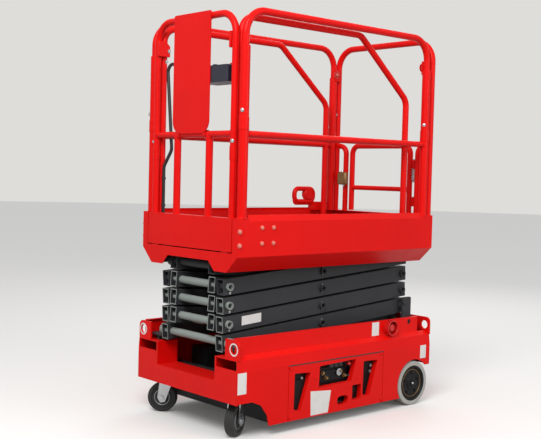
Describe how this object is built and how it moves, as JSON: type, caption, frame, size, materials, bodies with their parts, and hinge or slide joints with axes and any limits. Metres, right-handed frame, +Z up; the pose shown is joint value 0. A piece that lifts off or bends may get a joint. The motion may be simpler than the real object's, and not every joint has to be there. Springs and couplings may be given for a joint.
{
  "type": "scissor lift",
  "caption": "Compact self-propelled scissor lift: wheeled chassis, stacked scissor arms, railed platform with a sliding extension deck and an entry gate.",
  "frame": {"origin": "on the ground below the middle of the machine's outline", "axes": "+X forward to the caster and control end, +Y to the machine's left, +Z up"},
  "size_m": [1.34, 0.76, 1.917],
  "materials": {
    "red_enamel": "gloss enamel on folded steel",
    "dark_enamel": "dark grey enamel on steel",
    "tyre": "grey non-marking solid rubber",
    "hub_black": "black enamel on cast iron",
    "zinc_plate": "bright zinc plating",
    "caster_rubber": "black solid rubber",
    "cylinder_enamel": "black enamel",
    "chrome_rod": "hard chrome",
    "battery_plastic": "moulded case",
    "control_plastic": "moulded case",
    "cable_sheath": "black cable sheath"
  },
  "bodies": {
    "chassis": {"side_shell_left": "red_enamel", "side_shell_right": "red_enamel", "side_covers": "red_enamel", "front_bumper": "red_enamel", "notch_tray": "red_enamel", "front_corners": "red_enamel", "floor_pan": "dark_enamel", "front_bulkhead": "dark_enamel", "caster_deck": "dark_enamel", "rear_wall": "red_enamel", "wheel_wells": "dark_enamel", "roller_tracks": "dark_enamel", "scissor_mount": "dark_enamel", "battery_pack": "battery_plastic", "hydraulic_unit": "dark_enamel", "drive_motors": "dark_enamel", "emergency_stop": "red_enamel"},
    "drive_wheel_left": {"drive_tyre_left": "tyre", "drive_hub_left": "hub_black"},
    "caster_fork_left": {"caster_fork_left": "zinc_plate"},
    "caster_wheel_left": {"caster_wheel_left": "caster_rubber"},
    "drive_wheel_right": {"drive_tyre_right": "tyre", "drive_hub_right": "hub_black"},
    "caster_fork_right": {"caster_fork_right": "zinc_plate"},
    "caster_wheel_right": {"caster_wheel_right": "caster_rubber"},
    "inner_frame_1": {"inner_arms_1": "dark_enamel"},
    "outer_frame_1": {"outer_arms_1": "dark_enamel"},
    "inner_frame_2": {"inner_arms_2": "dark_enamel"},
    "outer_frame_2": {"outer_arms_2": "dark_enamel"},
    "inner_frame_3": {"inner_arms_3": "dark_enamel"},
    "outer_frame_3": {"outer_arms_3": "dark_enamel"},
    "inner_frame_4": {"inner_arms_4": "dark_enamel"},
    "outer_frame_4": {"outer_arms_4": "dark_enamel"},
    "cylinder_barrel": {"cylinder_barrel": "cylinder_enamel"},
    "cylinder_rod": {"cylinder_rod": "chrome_rod"},
    "platform": {"platform_side_left": "red_enamel", "platform_side_right": "red_enamel", "deck_plate": "red_enamel", "deck_underframe": "red_enamel", "front_apron": "red_enamel", "side_rail_left": "red_enamel", "side_rail_right": "red_enamel", "rear_sill": "red_enamel", "rear_rail": "red_enamel", "extension_lock": "red_enamel"},
    "extension": {"extension_deck": "red_enamel", "extension_front": "red_enamel", "front_rail": "red_enamel", "inner_rail_left": "red_enamel", "inner_rail_right": "red_enamel", "control_plate": "red_enamel", "control_box": "control_plastic", "control_lead": "cable_sheath"},
    "gate": {"entry_gate": "red_enamel"}
  },
  "joints": [
    {"name": "lift", "type": "hinge", "parent": "chassis", "child": "inner_frame_1", "pos_m": [-0.585, 0, 0.415], "axis": [0, -1, 0], "range_deg": [0, 41.5]},
    {"name": "stage_1_centre", "type": "hinge", "parent": "inner_frame_1", "child": "outer_frame_1", "pos_m": [0.0105, 0, 0.45775], "axis": [0, -1, 0], "range_deg": [-83, 0]},
    {"name": "stage_1_to_2", "type": "hinge", "parent": "inner_frame_1", "child": "outer_frame_2", "pos_m": [0.606, 0, 0.5005], "axis": [0, -1, 0], "range_deg": [-83, 0]},
    {"name": "stage_2_centre", "type": "hinge", "parent": "outer_frame_2", "child": "inner_frame_2", "pos_m": [0.0105, 0, 0.54325], "axis": [0, -1, 0], "range_deg": [0, 83]},
    {"name": "stage_2_to_3", "type": "hinge", "parent": "outer_frame_2", "child": "inner_frame_3", "pos_m": [-0.585, 0, 0.586], "axis": [0, -1, 0], "range_deg": [0, 83]},
    {"name": "stage_3_centre", "type": "hinge", "parent": "inner_frame_3", "child": "outer_frame_3", "pos_m": [0.0105, 0, 0.62875], "axis": [0, -1, 0], "range_deg": [-83, 0]},
    {"name": "stage_3_to_4", "type": "hinge", "parent": "inner_frame_3", "child": "outer_frame_4", "pos_m": [0.606, 0, 0.6715], "axis": [0, -1, 0], "range_deg": [-83, 0]},
    {"name": "stage_4_centre", "type": "hinge", "parent": "outer_frame_4", "child": "inner_frame_4", "pos_m": [0.0105, 0, 0.71425], "axis": [0, -1, 0], "range_deg": [0, 83]},
    {"name": "platform_pivot", "type": "hinge", "parent": "outer_frame_4", "child": "platform", "pos_m": [-0.585, 0, 0.757], "axis": [0, -1, 0], "range_deg": [0, 41.5]},
    {"name": "cylinder_tilt", "type": "hinge", "parent": "inner_frame_1", "child": "cylinder_barrel", "pos_m": [0.52443, 0, 0.4776], "axis": [0, -1, 0], "range_deg": [-88.73, 0]},
    {"name": "cylinder_stroke", "type": "slide", "parent": "cylinder_barrel", "child": "cylinder_rod", "axis": [-0.991, 0, 0.134], "range_m": [0, 0.24897]},
    {"name": "extension_slide", "type": "slide", "parent": "platform", "child": "extension", "axis": [1, 0, 0], "range_m": [0, 0.6]},
    {"name": "gate_hinge", "type": "hinge", "parent": "platform", "child": "gate", "pos_m": [-0.652, 0.236, 1.05], "axis": [0, 0, 1], "range_deg": [0, 90]},
    {"name": "caster_swivel_left", "type": "hinge", "parent": "chassis", "child": "caster_fork_left", "pos_m": [0.56, 0.262, 0.2], "axis": [0, 0, 1], "continuous": true},
    {"name": "caster_spin_left", "type": "hinge", "parent": "caster_fork_left", "child": "caster_wheel_left", "pos_m": [0.59263, 0.27721, 0.072], "axis": [-0.4226, 0.9063, 0], "continuous": true},
    {"name": "drive_spin_left", "type": "hinge", "parent": "chassis", "child": "drive_wheel_left", "pos_m": [-0.53, 0.335, 0.115], "axis": [0, 1, 0], "continuous": true},
    {"name": "caster_swivel_right", "type": "hinge", "parent": "chassis", "child": "caster_fork_right", "pos_m": [0.56, -0.262, 0.2], "axis": [0, 0, 1], "continuous": true},
    {"name": "caster_spin_right", "type": "hinge", "parent": "caster_fork_right", "child": "caster_wheel_right", "pos_m": [0.58409, -0.28875, 0.072], "axis": [0.7431, 0.6691, 0], "continuous": true},
    {"name": "drive_spin_right", "type": "hinge", "parent": "chassis", "child": "drive_wheel_right", "pos_m": [-0.53, -0.335, 0.115], "axis": [0, 1, 0], "continuous": true}
  ],
  "couplings": [
    {"joint": "stage_1_centre", "follows": "lift", "ratio": -2},
    {"joint": "stage_1_to_2", "follows": "lift", "ratio": -2},
    {"joint": "stage_2_centre", "follows": "lift", "ratio": 2},
    {"joint": "stage_2_to_3", "follows": "lift", "ratio": 2},
    {"joint": "stage_3_centre", "follows": "lift", "ratio": -2},
    {"joint": "stage_3_to_4", "follows": "lift", "ratio": -2},
    {"joint": "stage_4_centre", "follows": "lift", "ratio": 2},
    {"joint": "platform_pivot", "follows": "lift", "ratio": 1},
    {"joint": "cylinder_tilt", "follows": "lift", "ratio": -2.138},
    {"joint": "cylinder_stroke", "follows": "lift", "m_per_rad": 0.34359}
  ]
}
